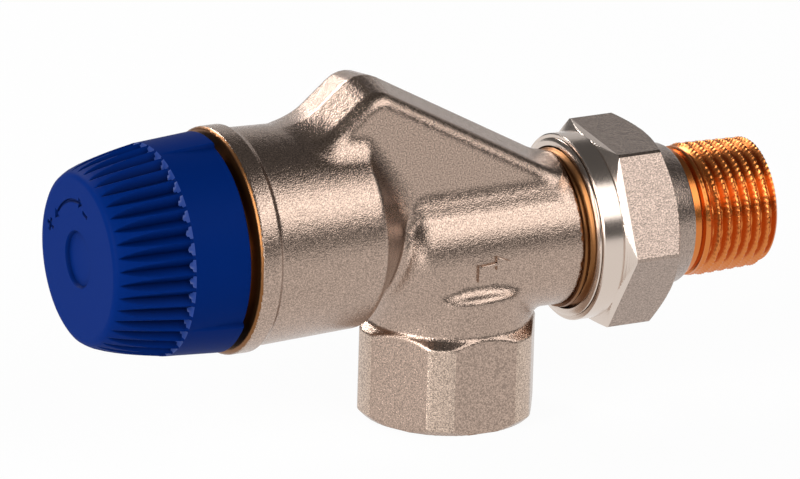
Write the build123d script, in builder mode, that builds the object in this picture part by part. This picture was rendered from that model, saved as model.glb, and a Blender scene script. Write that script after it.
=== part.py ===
from build123d import *
import math
import os

# Thermostatic radiator valve, reverse angle pattern, with its hand cap on.
# The origin is the centre of the inlet's mouth. +Z runs up the inlet, +X runs out of the
# radiator tail, and the stem lies along X above the tail's axis. Millimetres.

# Axes, and how far pieces of one solid run into each other
tail_axis_height = 28.0
barrel_axis_rise = 6.0
overlap = 1.0
barrel_axis_height = tail_axis_height + barrel_axis_rise

# Casting, barrel
barrel_face_x = -42.7
barrel_length = 22.9
barrel_band_radius = 18.35
barrel_band_length = 3.4
barrel_step = 0.75
barrel_back_radius = 16.9
barrel_face_chamfer = 0.5
barrel_edge_radius = 2.0
back_cone_angle = 48.0
back_cone_end_radius = 5.5

# Casting, tube and neck towards the tail
tube_radius = 12.2
tube_start_x = -5.0
tube_end_x = 17.9
neck_radius = 14.0
neck_top = 21.0
neck_crown_radius = 11.6

# Casting, inlet hexagon
hexagon_across_flats = 27.8
hexagon_corner_radius = 15.0
hexagon_height = 14.8
hexagon_chamfer_height = 1.4
hexagon_mouth_radius = 13.9

# Casting, flow duct over the top
duct_crest_x = -17.5
duct_crest_rise = 8.8
duct_rise_angle = 40.0
duct_fall_angle = 29.0
duct_crest_radius = 3.6
duct_half_width = 8.0
duct_end_gap = 0.4
duct_draft = 10.0
duct_edge_radius = 2.2
duct_wall = 3.6
duct_bore_height = 4.8
duct_bore_width = 10.0
duct_bore_setback = 2.0

# Flow path inside the casting
inlet_thread_radius = 10.48
inlet_thread_depth = 13.5
inlet_thread_runout = 1.0
inlet_bore_radius = 8.8
inlet_bore_top = 29.0
seat_x = -20.5
seat_radius = 6.5
seat_lip_width = 0.9
seat_lip_height = 0.5
seat_passage_length = 7.5
crossing_radius = 6.5
crossing_height = 30.5
chamber_radius = 12.0
tail_bore_radius = 9.2
tail_bore_start_x = 11.2

# Male thread for the union nut
union_thread_radius = 13.12
union_thread_length = 9.6

# Bonnet, screwed into the barrel
bonnet_spigot_radius = 12.9
bonnet_spigot_length = 11.2
bonnet_spigot_gap = 0.5
head_thread_radius = 14.9
head_thread_length = 11.3
bonnet_hexagon_across_flats = 22.0
bonnet_hexagon_length = 3.5
spring_chamber_radius = 6.5
thread_clearance = 0.1

# O rings
bonnet_ring_section = 1.6
bonnet_ring_setback = 2.2
gland_ring_section = 2.0

# Gland that seals the pin
gland_radius = 4.9
gland_washer_thickness = 1.0
gland_nut_across_flats = 12.0
gland_nut_head = 1.5
gland_nut_length = 2.9

# Pin and stem
pin_radius = 2.0
pin_projection = 2.0
pin_edge_chamfer = 0.3
pin_guide_length = 2.2
stem_radius = 2.5
stem_thread_radius = 1.9
guide_clearance = 0.05
stem_to_wall = 2.4

# Return spring and what holds it
spring_cup_radius = 10.0
spring_cup_flange = 1.2
spring_cup_web = 1.7
spring_collar_radius = 5.9
spring_collar_thickness = 1.5
clip_thickness = 0.8
clip_radius = 4.2
clip_groove_depth = 0.5
spring_mean_radius = 4.6
spring_wire_radius = 0.5
spring_turns = 5

# Plug that closes the seat
closing_travel = 0.6
seat_clearance = 0.03
seal_thickness = 2.4
seal_radius = 7.6
plug_holder_thickness = 1.7
plug_rim_width = 0.8
plug_rim_depth = 1.1
plug_nut_flange_radius = 4.2
plug_nut_flange = 0.8
plug_nut_across_flats = 6.0
plug_nut_height = 1.5
stem_tip_projection = 0.4

# Hand cap
cap_gap = 1.27
cap_length = 22.23
cap_skirt_wall = 2.75
cap_pad_step = 0.65
cap_shoulder_x = 12.6
cap_middle_x = 6.7
cap_middle_taper = 1.1
cap_edge_x = 0.95
cap_edge_taper = 3.0
cap_edge_round = 1.2
cap_wall = 2.0
cap_cavity_clearance = 1.0
cap_cavity_taper = 1.7
cap_thread_runout = 1.0
cap_recess_radius = 4.5
cap_recess_depth = 0.6
cap_boss_radius = 5.0
cap_pad_sector = 68.0
cap_turned_angle = 24.5
rib_count = 40
rib_groove_depth = 1.25
rib_groove_angle = 92.0
rib_cutter_height = 3.0
rib_cutter_reach = 1.2
thrust_pad_radius = 3.5
thrust_pad_thickness = 1.5

# Union nut
nut_across_flats = 30.0
nut_corner_radius = 17.15
nut_front_gap = 1.6
nut_front_radius = 13.9
nut_collar_radius = 15.2
nut_collar_length = 4.25
nut_corner_cone_length = 1.4
nut_hexagon_length = 7.5
nut_rear_cone_length = 1.25
nut_hub_radius = 12.2
nut_rear_radius = 11.3
nut_hub_length = 4.9
nut_bore_radius = 10.9
nut_turned_angle = 3.5
nut_front_chamfer = 0.6
thread_end_chamfer = 1.0

# Tailpiece and its seal
tail_seal_thickness = 1.5
tail_collar_radius = 12.9
tail_collar_thickness = 2.8
tail_neck_radius = 10.3
tail_thread_radius = 10.48
tail_thread_length = 13.2
tail_end_x = 54.5
tail_end_chamfer = 0.8
tail_water_radius = 7.9
tail_key_across_flats = 13.4
tail_key_depth = 10.0

# Planes and axes that the pieces share
barrel_side = Plane(origin=(0, 0, barrel_axis_height), x_dir=(1, 0, 0), z_dir=(0, -1, 0))
tail_side = Plane(origin=(0, 0, tail_axis_height), x_dir=(1, 0, 0), z_dir=(0, -1, 0))
barrel_axis = Axis((0, 0, barrel_axis_height), (1, 0, 0))
tail_axis = Axis((0, 0, tail_axis_height), (1, 0, 0))


def across_barrel(x):
    """The plane square to the stem at x, looking along +X."""
    return Plane(origin=(x, 0, barrel_axis_height), x_dir=(0, 1, 0), z_dir=(1, 0, 0))


def across_tail(x):
    """The plane square to the tail at x, looking along +X."""
    return Plane(origin=(x, 0, tail_axis_height), x_dir=(0, 1, 0), z_dir=(1, 0, 0))


# Places along the stem, from the seat outwards
chamber_end_x = seat_x + seat_lip_height
spigot_end_x = barrel_face_x + bonnet_spigot_length
chamber_start_x = spigot_end_x + bonnet_spigot_gap
seal_face_x = seat_x - closing_travel - seat_clearance
seal_back_x = seal_face_x - seal_thickness
plug_back_x = seal_back_x - plug_holder_thickness
spring_seat_x = spigot_end_x - spring_cup_web
head_thread_end_x = barrel_face_x - head_thread_length
bonnet_end_x = head_thread_end_x - bonnet_hexagon_length
gland_head_x = bonnet_end_x - gland_nut_head
pin_tip_x = gland_head_x - pin_projection
gland_nut_x = bonnet_end_x + gland_nut_length
gland_washer_x = gland_nut_x + gland_washer_thickness
gland_ring_x = gland_washer_x + gland_ring_section
spring_chamber_end_x = gland_ring_x + pin_guide_length
stem_end_x = spring_chamber_end_x + stem_to_wall
clip_x = stem_end_x + clip_thickness
spring_collar_x = clip_x + clip_thickness
spring_end_x = spring_collar_x + spring_collar_thickness
bonnet_ring_x = spigot_end_x - bonnet_ring_setback
stem_tip_x = seal_face_x + plug_nut_flange + plug_nut_height + stem_tip_projection
cap_skirt_x = barrel_face_x - cap_gap
cap_thread_end_x = head_thread_end_x - cap_thread_runout
cap_face_x = cap_skirt_x - cap_length
cap_thread_radius = head_thread_radius + thread_clearance
cap_skirt_radius = cap_thread_radius + cap_skirt_wall
cap_shoulder_radius = cap_skirt_radius - cap_pad_step
cap_middle_radius = cap_shoulder_radius - cap_middle_taper
cap_edge_radius = cap_shoulder_radius - cap_edge_taper
cap_face_radius = cap_edge_radius - cap_edge_round
cap_pad_middle = 90 - cap_turned_angle
bonnet_corner_radius = bonnet_hexagon_across_flats / 2 / math.cos(math.radians(30))
cap_cavity_radius = bonnet_corner_radius + cap_cavity_clearance

# Places along the tail
body_end_x = tube_end_x + union_thread_length
nut_front_x = tube_end_x + nut_front_gap
tail_start_x = body_end_x + tail_seal_thickness
tail_collar_end_x = tail_start_x + tail_collar_thickness
nut_hexagon_x = nut_front_x + nut_collar_length
nut_corner_x = nut_hexagon_x + nut_corner_cone_length
nut_rear_x = nut_corner_x + nut_hexagon_length
nut_hub_x = nut_rear_x + nut_rear_cone_length
nut_end_x = nut_hub_x + nut_hub_length
tail_thread_x = tail_end_x - tail_thread_length
barrel_bore_radius = bonnet_spigot_radius + thread_clearance
nut_thread_radius = union_thread_radius + thread_clearance

# The casting's duct follows two slopes that meet at its crest
rise = math.radians(duct_rise_angle)
fall = math.radians(duct_fall_angle)
duct_start_height = barrel_axis_height + barrel_back_radius
duct_crest_height = duct_start_height + duct_crest_rise
duct_start_x = duct_crest_x - duct_crest_rise / math.tan(rise)
duct_end_x = tube_end_x - duct_end_gap
duct_end_height = duct_crest_height - (duct_end_x - duct_crest_x) * math.tan(fall)
barrel_back_x = barrel_face_x + barrel_length
cone_slope = math.tan(math.radians(back_cone_angle))
duct_bore_crest_height = duct_crest_height - duct_wall / math.cos(fall)
duct_bore_start_x = chamber_start_x + duct_bore_setback
duct_bore_end_x = tail_bore_start_x + duct_bore_height
crossing_start_x = inlet_bore_radius / 2
crossing_length = crossing_start_x - seat_x - seat_passage_length + overlap


def duct_roof(x, slope_angle):
    """Height of the duct bore's roof at x, on a slope that starts at its crest."""
    return duct_bore_crest_height + (x - duct_crest_x) * math.tan(slope_angle)


cone_end_x = barrel_back_x + (barrel_back_radius - back_cone_end_radius) / cone_slope

with BuildPart() as body_casting:
    # Barrel and its back cone
    with BuildSketch(barrel_side):
        with BuildLine():
            front_radius = barrel_band_radius - barrel_step
            band_end_x = barrel_face_x + barrel_band_length
            Polyline(
                (barrel_face_x, 0),
                (barrel_face_x, barrel_band_radius - barrel_face_chamfer),
                (barrel_face_x + barrel_face_chamfer, barrel_band_radius),
                (band_end_x, barrel_band_radius),
                (band_end_x + barrel_step, front_radius),
            )
            Polyline(
                (band_end_x + barrel_step, front_radius),
                (barrel_back_x, barrel_back_radius),
                (cone_end_x, back_cone_end_radius),
            )
            Polyline((cone_end_x, back_cone_end_radius), (cone_end_x, 0), (barrel_face_x, 0))
        make_face()
        back_corner = vertices().sort_by_distance((barrel_back_x, barrel_back_radius, 0))[0]
        fillet(back_corner, radius=barrel_edge_radius)
    revolve(axis=barrel_axis)

    # Tube towards the tail, round at its inner end
    with BuildSketch(tail_side):
        with BuildLine():
            Line((tube_start_x - tube_radius, 0), (tube_end_x, 0))
            Line((tube_end_x, 0), (tube_end_x, tube_radius))
            Line((tube_end_x, tube_radius), (tube_start_x, tube_radius))
            CenterArc((tube_start_x, 0), tube_radius, 90, 90)
        make_face()
    revolve(axis=tail_axis)

    # Neck above the hexagon
    with BuildSketch(Plane.XZ):
        with BuildLine():
            Polyline(
                (0, hexagon_height - hexagon_chamfer_height),
                (neck_radius, hexagon_height - hexagon_chamfer_height),
                (neck_radius, neck_top),
                (neck_crown_radius, tail_axis_height),
                (0, tail_axis_height),
                close=True,
            )
        make_face()
    revolve(axis=Axis.Z)

    # Flow duct, drafted both ways from its parting line
    with BuildSketch(Plane.XZ):
        with BuildLine():
            Polyline(
                (duct_start_x - overlap, duct_start_height - overlap * math.tan(rise)),
                (duct_crest_x, duct_crest_height),
                (duct_end_x, duct_end_height),
                (duct_end_x, tail_axis_height + 0.5 * tube_radius),
                (seat_x, barrel_axis_height),
                (duct_start_x - overlap, barrel_axis_height),
                close=True,
            )
        make_face()
        crest = vertices().sort_by(Axis.Y)[-1]
        fillet(crest, radius=duct_crest_radius)
    extrude(amount=duct_half_width, both=True, taper=duct_draft)
    duct_sides = faces().filter_by(Axis.Y).group_by(Axis.Y)
    duct_rims = duct_sides[0].edges() + duct_sides[-1].edges()
    duct_rims = [edge for edge in duct_rims if edge.bounding_box().max.Z > duct_start_height]
    fillet(duct_rims, radius=duct_edge_radius)

    # Male thread for the union nut, machined on the end of the tube
    with BuildSketch(across_tail(tube_end_x - overlap)):
        Circle(union_thread_radius)
    extrude(amount=union_thread_length + overlap)
    thread_end = edges().sort_by(Axis.X)[-1]
    chamfer(thread_end, length=thread_end_chamfer)

    # Inlet hexagon with its corners turned down
    with BuildSketch():
        RegularPolygon(hexagon_across_flats / 2, 6, major_radius=False)
    extrude(amount=hexagon_height + hexagon_chamfer_height)
    with BuildSketch(Plane.XZ):
        with BuildLine():
            Polyline(
                (hexagon_mouth_radius, 0),
                (hexagon_corner_radius, hexagon_corner_radius - hexagon_mouth_radius),
                (hexagon_corner_radius, hexagon_height),
                (neck_radius, hexagon_height + hexagon_chamfer_height),
                (hexagon_across_flats, hexagon_height + hexagon_chamfer_height),
                (hexagon_across_flats, 0),
                close=True,
            )
        make_face()
    revolve(axis=Axis.Z, mode=Mode.SUBTRACT)

    # Barrel bore, valve chamber and the raised seat at its end
    with BuildSketch(barrel_side):
        with BuildLine():
            Polyline(
                (barrel_face_x, 0),
                (barrel_face_x, barrel_bore_radius),
                (chamber_start_x, barrel_bore_radius),
                (chamber_start_x, chamber_radius),
                (chamber_end_x, chamber_radius),
                (chamber_end_x, seat_radius + seat_lip_width),
                (seat_x, seat_radius + seat_lip_width),
                (seat_x, seat_radius),
                (seat_x + seat_passage_length, seat_radius),
                (seat_x + seat_passage_length, 0),
                close=True,
            )
        make_face()
    revolve(axis=barrel_axis, mode=Mode.SUBTRACT)

    # Inlet: thread bore, water bore and the crossing to the seat
    with BuildSketch(Plane.XZ):
        with BuildLine():
            Polyline(
                (0, 0),
                (inlet_thread_radius, 0),
                (inlet_thread_radius, inlet_thread_depth),
                (inlet_bore_radius, inlet_thread_depth + inlet_thread_runout),
                (inlet_bore_radius, inlet_bore_top),
                (0, inlet_bore_top + inlet_bore_radius / 2),
                close=True,
            )
        make_face()
    revolve(axis=Axis.Z, mode=Mode.SUBTRACT)
    with BuildSketch(Plane(origin=(crossing_start_x, 0, crossing_height), x_dir=(0, 1, 0), z_dir=(-1, 0, 0))):
        Circle(crossing_radius)
    extrude(amount=crossing_length, mode=Mode.SUBTRACT)

    # Flow duct's bore, from the valve chamber to the tail
    with BuildSketch(Plane.XZ):
        with BuildLine():
            Polyline(
                (duct_bore_start_x, barrel_axis_height + chamber_radius - overlap),
                (duct_bore_start_x, duct_roof(duct_bore_start_x, rise)),
                (duct_crest_x, duct_bore_crest_height),
                (duct_bore_end_x, duct_roof(duct_bore_end_x, -fall)),
                (duct_bore_end_x, tail_axis_height + tail_bore_radius / 2),
                (tail_bore_start_x, tail_axis_height + tail_bore_radius / 2),
                (tail_bore_start_x, duct_roof(tail_bore_start_x, -fall) - duct_bore_height / math.cos(fall)),
                (chamber_end_x - overlap, duct_bore_crest_height - duct_bore_height),
                (chamber_end_x - overlap, barrel_axis_height + chamber_radius - overlap),
                close=True,
            )
        make_face()
    extrude(amount=duct_bore_width / 2, both=True, mode=Mode.SUBTRACT)
    with BuildSketch(across_tail(tail_bore_start_x)):
        Circle(tail_bore_radius)
    extrude(amount=body_end_x - tail_bore_start_x, mode=Mode.SUBTRACT)
body_casting.part.label = "body_casting"

# Bonnet: spigot in the barrel, head thread outside, spring chamber and gland inside
with BuildPart() as bonnet:
    with BuildSketch(across_barrel(barrel_face_x)):
        Circle(bonnet_spigot_radius)
    extrude(amount=bonnet_spigot_length)
    with BuildSketch(across_barrel(head_thread_end_x)):
        Circle(head_thread_radius)
    extrude(amount=head_thread_length)
    chamfer(edges().group_by(Axis.X)[0], length=thread_end_chamfer)
    with BuildSketch(across_barrel(bonnet_end_x)):
        RegularPolygon(bonnet_hexagon_across_flats / 2, 6, major_radius=False)
    extrude(amount=bonnet_hexagon_length)
    with BuildSketch(barrel_side):
        with BuildLine():
            Polyline(
                (spigot_end_x, 0),
                (spigot_end_x, spring_chamber_radius),
                (spring_chamber_end_x, spring_chamber_radius),
                (spring_chamber_end_x, pin_radius + guide_clearance),
                (gland_ring_x, pin_radius + guide_clearance),
                (gland_ring_x, gland_radius),
                (bonnet_end_x, gland_radius),
                (bonnet_end_x, 0),
                close=True,
            )
        make_face()
    revolve(axis=barrel_axis, mode=Mode.SUBTRACT)
    with BuildSketch(barrel_side):
        with Locations((bonnet_ring_x, barrel_bore_radius - bonnet_ring_section / 2)):
            Rectangle(bonnet_ring_section, bonnet_ring_section)
    revolve(axis=barrel_axis, mode=Mode.SUBTRACT)
bonnet.part.label = "bonnet"

with BuildPart() as bonnet_o_ring:
    with BuildSketch(barrel_side):
        with Locations((bonnet_ring_x, barrel_bore_radius - bonnet_ring_section / 2)):
            Circle(bonnet_ring_section / 2)
    revolve(axis=barrel_axis)
bonnet_o_ring.part.label = "bonnet_o_ring"

# Gland: ring, washer and nut round the pin, from the inside out
with BuildPart() as gland_o_ring:
    with BuildSketch(barrel_side):
        with Locations((gland_ring_x - gland_ring_section / 2, (pin_radius + gland_radius) / 2)):
            Ellipse(gland_ring_section / 2, (gland_radius - pin_radius) / 2 - guide_clearance)
    revolve(axis=barrel_axis)
gland_o_ring.part.label = "gland_o_ring"

with BuildPart() as gland_washer:
    with BuildSketch(across_barrel(gland_nut_x)):
        Circle(gland_radius - guide_clearance)
        Circle(pin_radius + guide_clearance, mode=Mode.SUBTRACT)
    extrude(amount=gland_washer_thickness)
gland_washer.part.label = "gland_washer"

with BuildPart() as gland_nut:
    with BuildSketch(across_barrel(gland_head_x)):
        RegularPolygon(gland_nut_across_flats / 2, 6, major_radius=False)
    extrude(amount=gland_nut_head)
    with BuildSketch(across_barrel(bonnet_end_x)):
        Circle(gland_radius - guide_clearance)
    extrude(amount=gland_nut_x - bonnet_end_x)
    with BuildSketch(across_barrel(gland_head_x)):
        Circle(pin_radius + guide_clearance)
    extrude(amount=gland_nut_x - gland_head_x, mode=Mode.SUBTRACT)
gland_nut.part.label = "gland_nut"

# Cup that the spring stands on, over the bonnet's inner end
with BuildPart() as spring_cup:
    with BuildSketch(barrel_side):
        with BuildLine():
            Polyline(
                (spring_seat_x, stem_radius + guide_clearance),
                (spring_seat_x, spring_chamber_radius - guide_clearance),
                (spigot_end_x, spring_chamber_radius - guide_clearance),
                (spigot_end_x, spring_cup_radius),
                (spigot_end_x + spring_cup_flange, spring_cup_radius),
                (spigot_end_x + spring_cup_flange, stem_radius + guide_clearance),
                close=True,
            )
        make_face()
    revolve(axis=barrel_axis)
spring_cup.part.label = "spring_cup"

with BuildPart() as return_spring:
    coil_span = spring_seat_x - spring_end_x - 2 * spring_wire_radius
    with BuildLine() as coil:
        Helix(
            pitch=coil_span / spring_turns,
            height=coil_span,
            radius=spring_mean_radius,
            center=(spring_end_x + spring_wire_radius, 0, barrel_axis_height),
            direction=(1, 0, 0),
        )
    with BuildSketch(Plane(origin=coil.line @ 0, z_dir=coil.line % 0)):
        Circle(spring_wire_radius)
    sweep()
return_spring.part.label = "return_spring"

# Stem group, which moves along X
with BuildPart() as spindle_pin:
    with BuildSketch(across_barrel(pin_tip_x)):
        Circle(pin_radius)
    extrude(amount=stem_end_x - pin_tip_x)
    chamfer(edges().group_by(Axis.X)[0], length=pin_edge_chamfer)
spindle_pin.part.label = "spindle_pin"

with BuildPart() as valve_stem:
    with BuildSketch(across_barrel(stem_end_x)):
        Circle(stem_radius)
    extrude(amount=plug_back_x - stem_end_x)
    with BuildSketch(across_barrel(plug_back_x)):
        Circle(stem_thread_radius)
    extrude(amount=stem_tip_x - plug_back_x)
    with BuildSketch(across_barrel(clip_x)):
        Circle(stem_radius)
        Circle(stem_radius - clip_groove_depth, mode=Mode.SUBTRACT)
    extrude(amount=clip_thickness, mode=Mode.SUBTRACT)
valve_stem.part.label = "valve_stem"

with BuildPart() as retaining_clip:
    with BuildSketch(across_barrel(clip_x)):
        Circle(clip_radius)
        Circle(stem_radius - clip_groove_depth + guide_clearance, mode=Mode.SUBTRACT)
        with Locations((0, -clip_radius)):
            Rectangle(2 * (stem_radius - clip_groove_depth), 2 * clip_radius, mode=Mode.SUBTRACT)
    extrude(amount=clip_thickness)
retaining_clip.part.label = "retaining_clip"

with BuildPart() as spring_collar:
    with BuildSketch(across_barrel(spring_collar_x)):
        Circle(spring_collar_radius)
        Circle(stem_radius + guide_clearance, mode=Mode.SUBTRACT)
    extrude(amount=spring_collar_thickness)
spring_collar.part.label = "spring_collar"

with BuildPart() as plug_holder:
    with BuildSketch(across_barrel(plug_back_x)):
        Circle(seal_radius + plug_rim_width)
        Circle(stem_thread_radius + guide_clearance, mode=Mode.SUBTRACT)
    extrude(amount=plug_holder_thickness)
    with BuildSketch(across_barrel(seal_back_x)):
        Circle(seal_radius + plug_rim_width)
        Circle(seal_radius, mode=Mode.SUBTRACT)
    extrude(amount=plug_rim_depth)
plug_holder.part.label = "plug_holder"

with BuildPart() as plug_seal:
    with BuildSketch(across_barrel(seal_back_x)):
        Circle(seal_radius)
        Circle(stem_thread_radius + guide_clearance, mode=Mode.SUBTRACT)
    extrude(amount=seal_thickness)
plug_seal.part.label = "plug_seal"

with BuildPart() as plug_nut:
    with BuildSketch(across_barrel(seal_face_x)):
        Circle(plug_nut_flange_radius)
    extrude(amount=plug_nut_flange)
    with BuildSketch(across_barrel(seal_face_x + plug_nut_flange)):
        RegularPolygon(plug_nut_across_flats / 2, 6, major_radius=False)
    extrude(amount=plug_nut_height)
    with BuildSketch(across_barrel(seal_face_x)):
        Circle(stem_thread_radius + guide_clearance)
    extrude(amount=plug_nut_flange + plug_nut_height, mode=Mode.SUBTRACT)
plug_nut.part.label = "plug_nut"

# Hand cap: the groove is cut along a slope, so it starts at nothing and ends deep
groove_end_x = cap_face_x + cap_shoulder_x
groove_start_x = cap_face_x + cap_edge_x
groove_floor_end = cap_shoulder_radius - rib_groove_depth
groove_run = groove_end_x - groove_start_x
groove_sink = groove_floor_end - cap_edge_radius
with BuildPart() as rib_groove:
    with BuildSketch(Plane.XY.offset(groove_end_x)):
        half_width = rib_cutter_height * math.tan(math.radians(rib_groove_angle / 2))
        with BuildLine():
            Polyline(
                (groove_floor_end, 0),
                (groove_floor_end + rib_cutter_height, half_width),
                (groove_floor_end + rib_cutter_height, -half_width),
                close=True,
            )
        make_face()
    cutter_length = rib_cutter_reach * math.hypot(groove_run, groove_sink)
    extrude(amount=cutter_length, dir=(-groove_sink, 0, -groove_run))

with BuildPart() as cap:
    with BuildSketch(barrel_side):
        with BuildLine():
            face_rim = (cap_face_x, cap_face_radius)
            edge = (cap_face_x + cap_edge_x, cap_edge_radius)
            middle = (cap_face_x + cap_middle_x, cap_middle_radius)
            shoulder = (cap_face_x + cap_shoulder_x, cap_shoulder_radius)
            skirt = (cap_skirt_x, cap_skirt_radius)
            Line((cap_face_x, 0), face_rim)
            TangentArc(face_rim, edge, tangent=(0, 1))
            ThreePointArc(edge, middle, shoulder)
            Line(shoulder, skirt)
            Line(skirt, (cap_skirt_x, 0))
            Line((cap_skirt_x, 0), (cap_face_x, 0))
        make_face()
    revolve(axis=barrel_axis)
    # Sides set back between the two pads
    with BuildSketch(across_barrel(groove_end_x)):
        Circle(cap_skirt_radius + cap_edge_x)
        Circle(cap_shoulder_radius, mode=Mode.SUBTRACT)
        with PolarLocations(0, 2, start_angle=cap_pad_middle):
            with BuildLine():
                reach = 2 * cap_skirt_radius
                half_pad = math.radians(cap_pad_sector / 2)
                Polyline(
                    (0, 0),
                    (reach * math.cos(half_pad), reach * math.sin(half_pad)),
                    (reach * math.cos(half_pad), -reach * math.sin(half_pad)),
                    close=True,
                )
            make_face(mode=Mode.SUBTRACT)
    extrude(amount=groove_end_x - cap_skirt_x, mode=Mode.SUBTRACT)
    # Inside: thread for the bonnet, and a boss that presses the pin
    with BuildSketch(barrel_side):
        with BuildLine():
            Polyline(
                (cap_skirt_x, 0),
                (cap_skirt_x, cap_thread_radius),
                (cap_thread_end_x, cap_thread_radius),
                (cap_thread_end_x, cap_cavity_radius),
                (cap_face_x + cap_wall, cap_cavity_radius - cap_cavity_taper),
                (cap_face_x + cap_wall, cap_boss_radius),
                (pin_tip_x, cap_boss_radius),
                (pin_tip_x, thrust_pad_radius),
                (pin_tip_x - thrust_pad_thickness, thrust_pad_radius),
                (pin_tip_x - thrust_pad_thickness, 0),
                close=True,
            )
        make_face()
    revolve(axis=barrel_axis, mode=Mode.SUBTRACT)
    # Recess in the middle of the face
    with BuildSketch(across_barrel(cap_face_x)):
        Circle(cap_recess_radius)
    extrude(amount=cap_recess_depth, mode=Mode.SUBTRACT)
    # Grip grooves
    with Locations(across_barrel(0)):
        with PolarLocations(0, rib_count):
            add(rib_groove.part, mode=Mode.SUBTRACT)
cap.part.label = "cap"

with BuildPart() as cap_thrust_pad:
    with BuildSketch(across_barrel(pin_tip_x - thrust_pad_thickness)):
        Circle(thrust_pad_radius)
    extrude(amount=thrust_pad_thickness)
cap_thrust_pad.part.label = "cap_thrust_pad"

# Tailpiece, held to the casting by the union nut
with BuildPart() as tailpiece:
    with BuildSketch(tail_side):
        with BuildLine():
            Polyline(
                (tail_start_x, 0),
                (tail_start_x, tail_collar_radius),
                (tail_collar_end_x, tail_collar_radius),
                (tail_collar_end_x, tail_neck_radius),
                (tail_thread_x, tail_neck_radius),
                (tail_thread_x, tail_thread_radius),
                (tail_end_x - tail_end_chamfer, tail_thread_radius),
                (tail_end_x, tail_thread_radius - tail_end_chamfer),
                (tail_end_x, 0),
                close=True,
            )
        make_face()
    revolve(axis=tail_axis)
    with BuildSketch(across_tail(tail_start_x)):
        RegularPolygon(tail_key_across_flats / 2, 6, major_radius=False)
    extrude(amount=tail_key_depth, mode=Mode.SUBTRACT)
    with BuildSketch(across_tail(tail_start_x + tail_key_depth)):
        Circle(tail_water_radius)
    extrude(amount=tail_end_x - tail_start_x - tail_key_depth, mode=Mode.SUBTRACT)
tailpiece.part.label = "tailpiece"

with BuildPart() as tail_seal:
    with BuildSketch(across_tail(body_end_x)):
        Circle(union_thread_radius - thread_end_chamfer)
        Circle(tail_bore_radius, mode=Mode.SUBTRACT)
    extrude(amount=tail_seal_thickness)
tail_seal.part.label = "tail_seal"

with BuildPart() as union_nut:
    # Hexagon with its corners turned down at both ends, and the hub behind it
    with BuildSketch(across_tail(nut_hexagon_x)):
        RegularPolygon(nut_across_flats / 2, 6, major_radius=False, rotation=nut_turned_angle)
    extrude(amount=nut_end_x - nut_hexagon_x)
    with BuildSketch(tail_side):
        with BuildLine():
            Polyline(
                (nut_hexagon_x, 0),
                (nut_hexagon_x, nut_collar_radius),
                (nut_corner_x, nut_corner_radius),
                (nut_rear_x, nut_corner_radius),
                (nut_hub_x, nut_across_flats / 2),
                (nut_hub_x, nut_hub_radius),
                (nut_end_x, nut_rear_radius),
                (nut_end_x, 0),
                close=True,
            )
        make_face()
    revolve(axis=tail_axis, mode=Mode.INTERSECT)
    # Turned collar in front of the hexagon
    with BuildSketch(tail_side):
        with BuildLine():
            Polyline(
                (nut_front_x, 0),
                (nut_front_x, nut_front_radius),
                (nut_front_x + nut_front_chamfer, nut_collar_radius),
                (nut_hexagon_x, nut_collar_radius),
                (nut_hexagon_x, 0),
                close=True,
            )
        make_face()
    revolve(axis=tail_axis)
    # Thread bore, and the shoulder that pulls the tailpiece's collar
    with BuildSketch(tail_side):
        with BuildLine():
            Polyline(
                (nut_front_x, 0),
                (nut_front_x, nut_thread_radius),
                (tail_collar_end_x, nut_thread_radius),
                (tail_collar_end_x, nut_bore_radius),
                (nut_end_x, nut_bore_radius),
                (nut_end_x, 0),
                close=True,
            )
        make_face()
    revolve(axis=tail_axis, mode=Mode.SUBTRACT)
union_nut.part.label = "union_nut"

os.makedirs("parts", exist_ok=True)
export_step(body_casting.part, "parts/body_casting.step")
export_step(bonnet.part, "parts/bonnet.step")
export_step(bonnet_o_ring.part, "parts/bonnet_o_ring.step")
export_step(gland_o_ring.part, "parts/gland_o_ring.step")
export_step(gland_washer.part, "parts/gland_washer.step")
export_step(gland_nut.part, "parts/gland_nut.step")
export_step(spring_cup.part, "parts/spring_cup.step")
export_step(return_spring.part, "parts/return_spring.step")
export_step(spindle_pin.part, "parts/spindle_pin.step")
export_step(valve_stem.part, "parts/valve_stem.step")
export_step(retaining_clip.part, "parts/retaining_clip.step")
export_step(spring_collar.part, "parts/spring_collar.step")
export_step(plug_holder.part, "parts/plug_holder.step")
export_step(plug_seal.part, "parts/plug_seal.step")
export_step(plug_nut.part, "parts/plug_nut.step")
export_step(cap.part, "parts/cap.step")
export_step(cap_thrust_pad.part, "parts/cap_thrust_pad.step")
export_step(union_nut.part, "parts/union_nut.step")
export_step(tailpiece.part, "parts/tailpiece.step")
export_step(tail_seal.part, "parts/tail_seal.step")
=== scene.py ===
import math

import bpy
import numpy as np
from mathutils import Matrix, Vector


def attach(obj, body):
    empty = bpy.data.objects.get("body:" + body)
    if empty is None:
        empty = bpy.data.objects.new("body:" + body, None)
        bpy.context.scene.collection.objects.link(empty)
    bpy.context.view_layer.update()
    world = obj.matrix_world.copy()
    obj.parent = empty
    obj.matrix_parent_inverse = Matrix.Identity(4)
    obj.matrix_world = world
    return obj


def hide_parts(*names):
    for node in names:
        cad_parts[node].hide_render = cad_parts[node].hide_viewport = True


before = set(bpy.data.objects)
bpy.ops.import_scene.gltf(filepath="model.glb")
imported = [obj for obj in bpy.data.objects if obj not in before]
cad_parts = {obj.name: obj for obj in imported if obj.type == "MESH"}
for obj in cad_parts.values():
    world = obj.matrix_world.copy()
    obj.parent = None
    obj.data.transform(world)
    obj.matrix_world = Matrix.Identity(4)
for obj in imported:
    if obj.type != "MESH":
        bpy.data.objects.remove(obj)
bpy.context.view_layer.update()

# Sizes in millimetres: those of the solids, but with a softer neck, crest and tube end
MM = 0.001
PAST_AXIS = -20
PAST_FACE = 5
ARC_STEPS = 5
BARREL_Z = 34.0
TAIL_Z = 28.0
BARREL_FACE_X = -42.7
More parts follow.
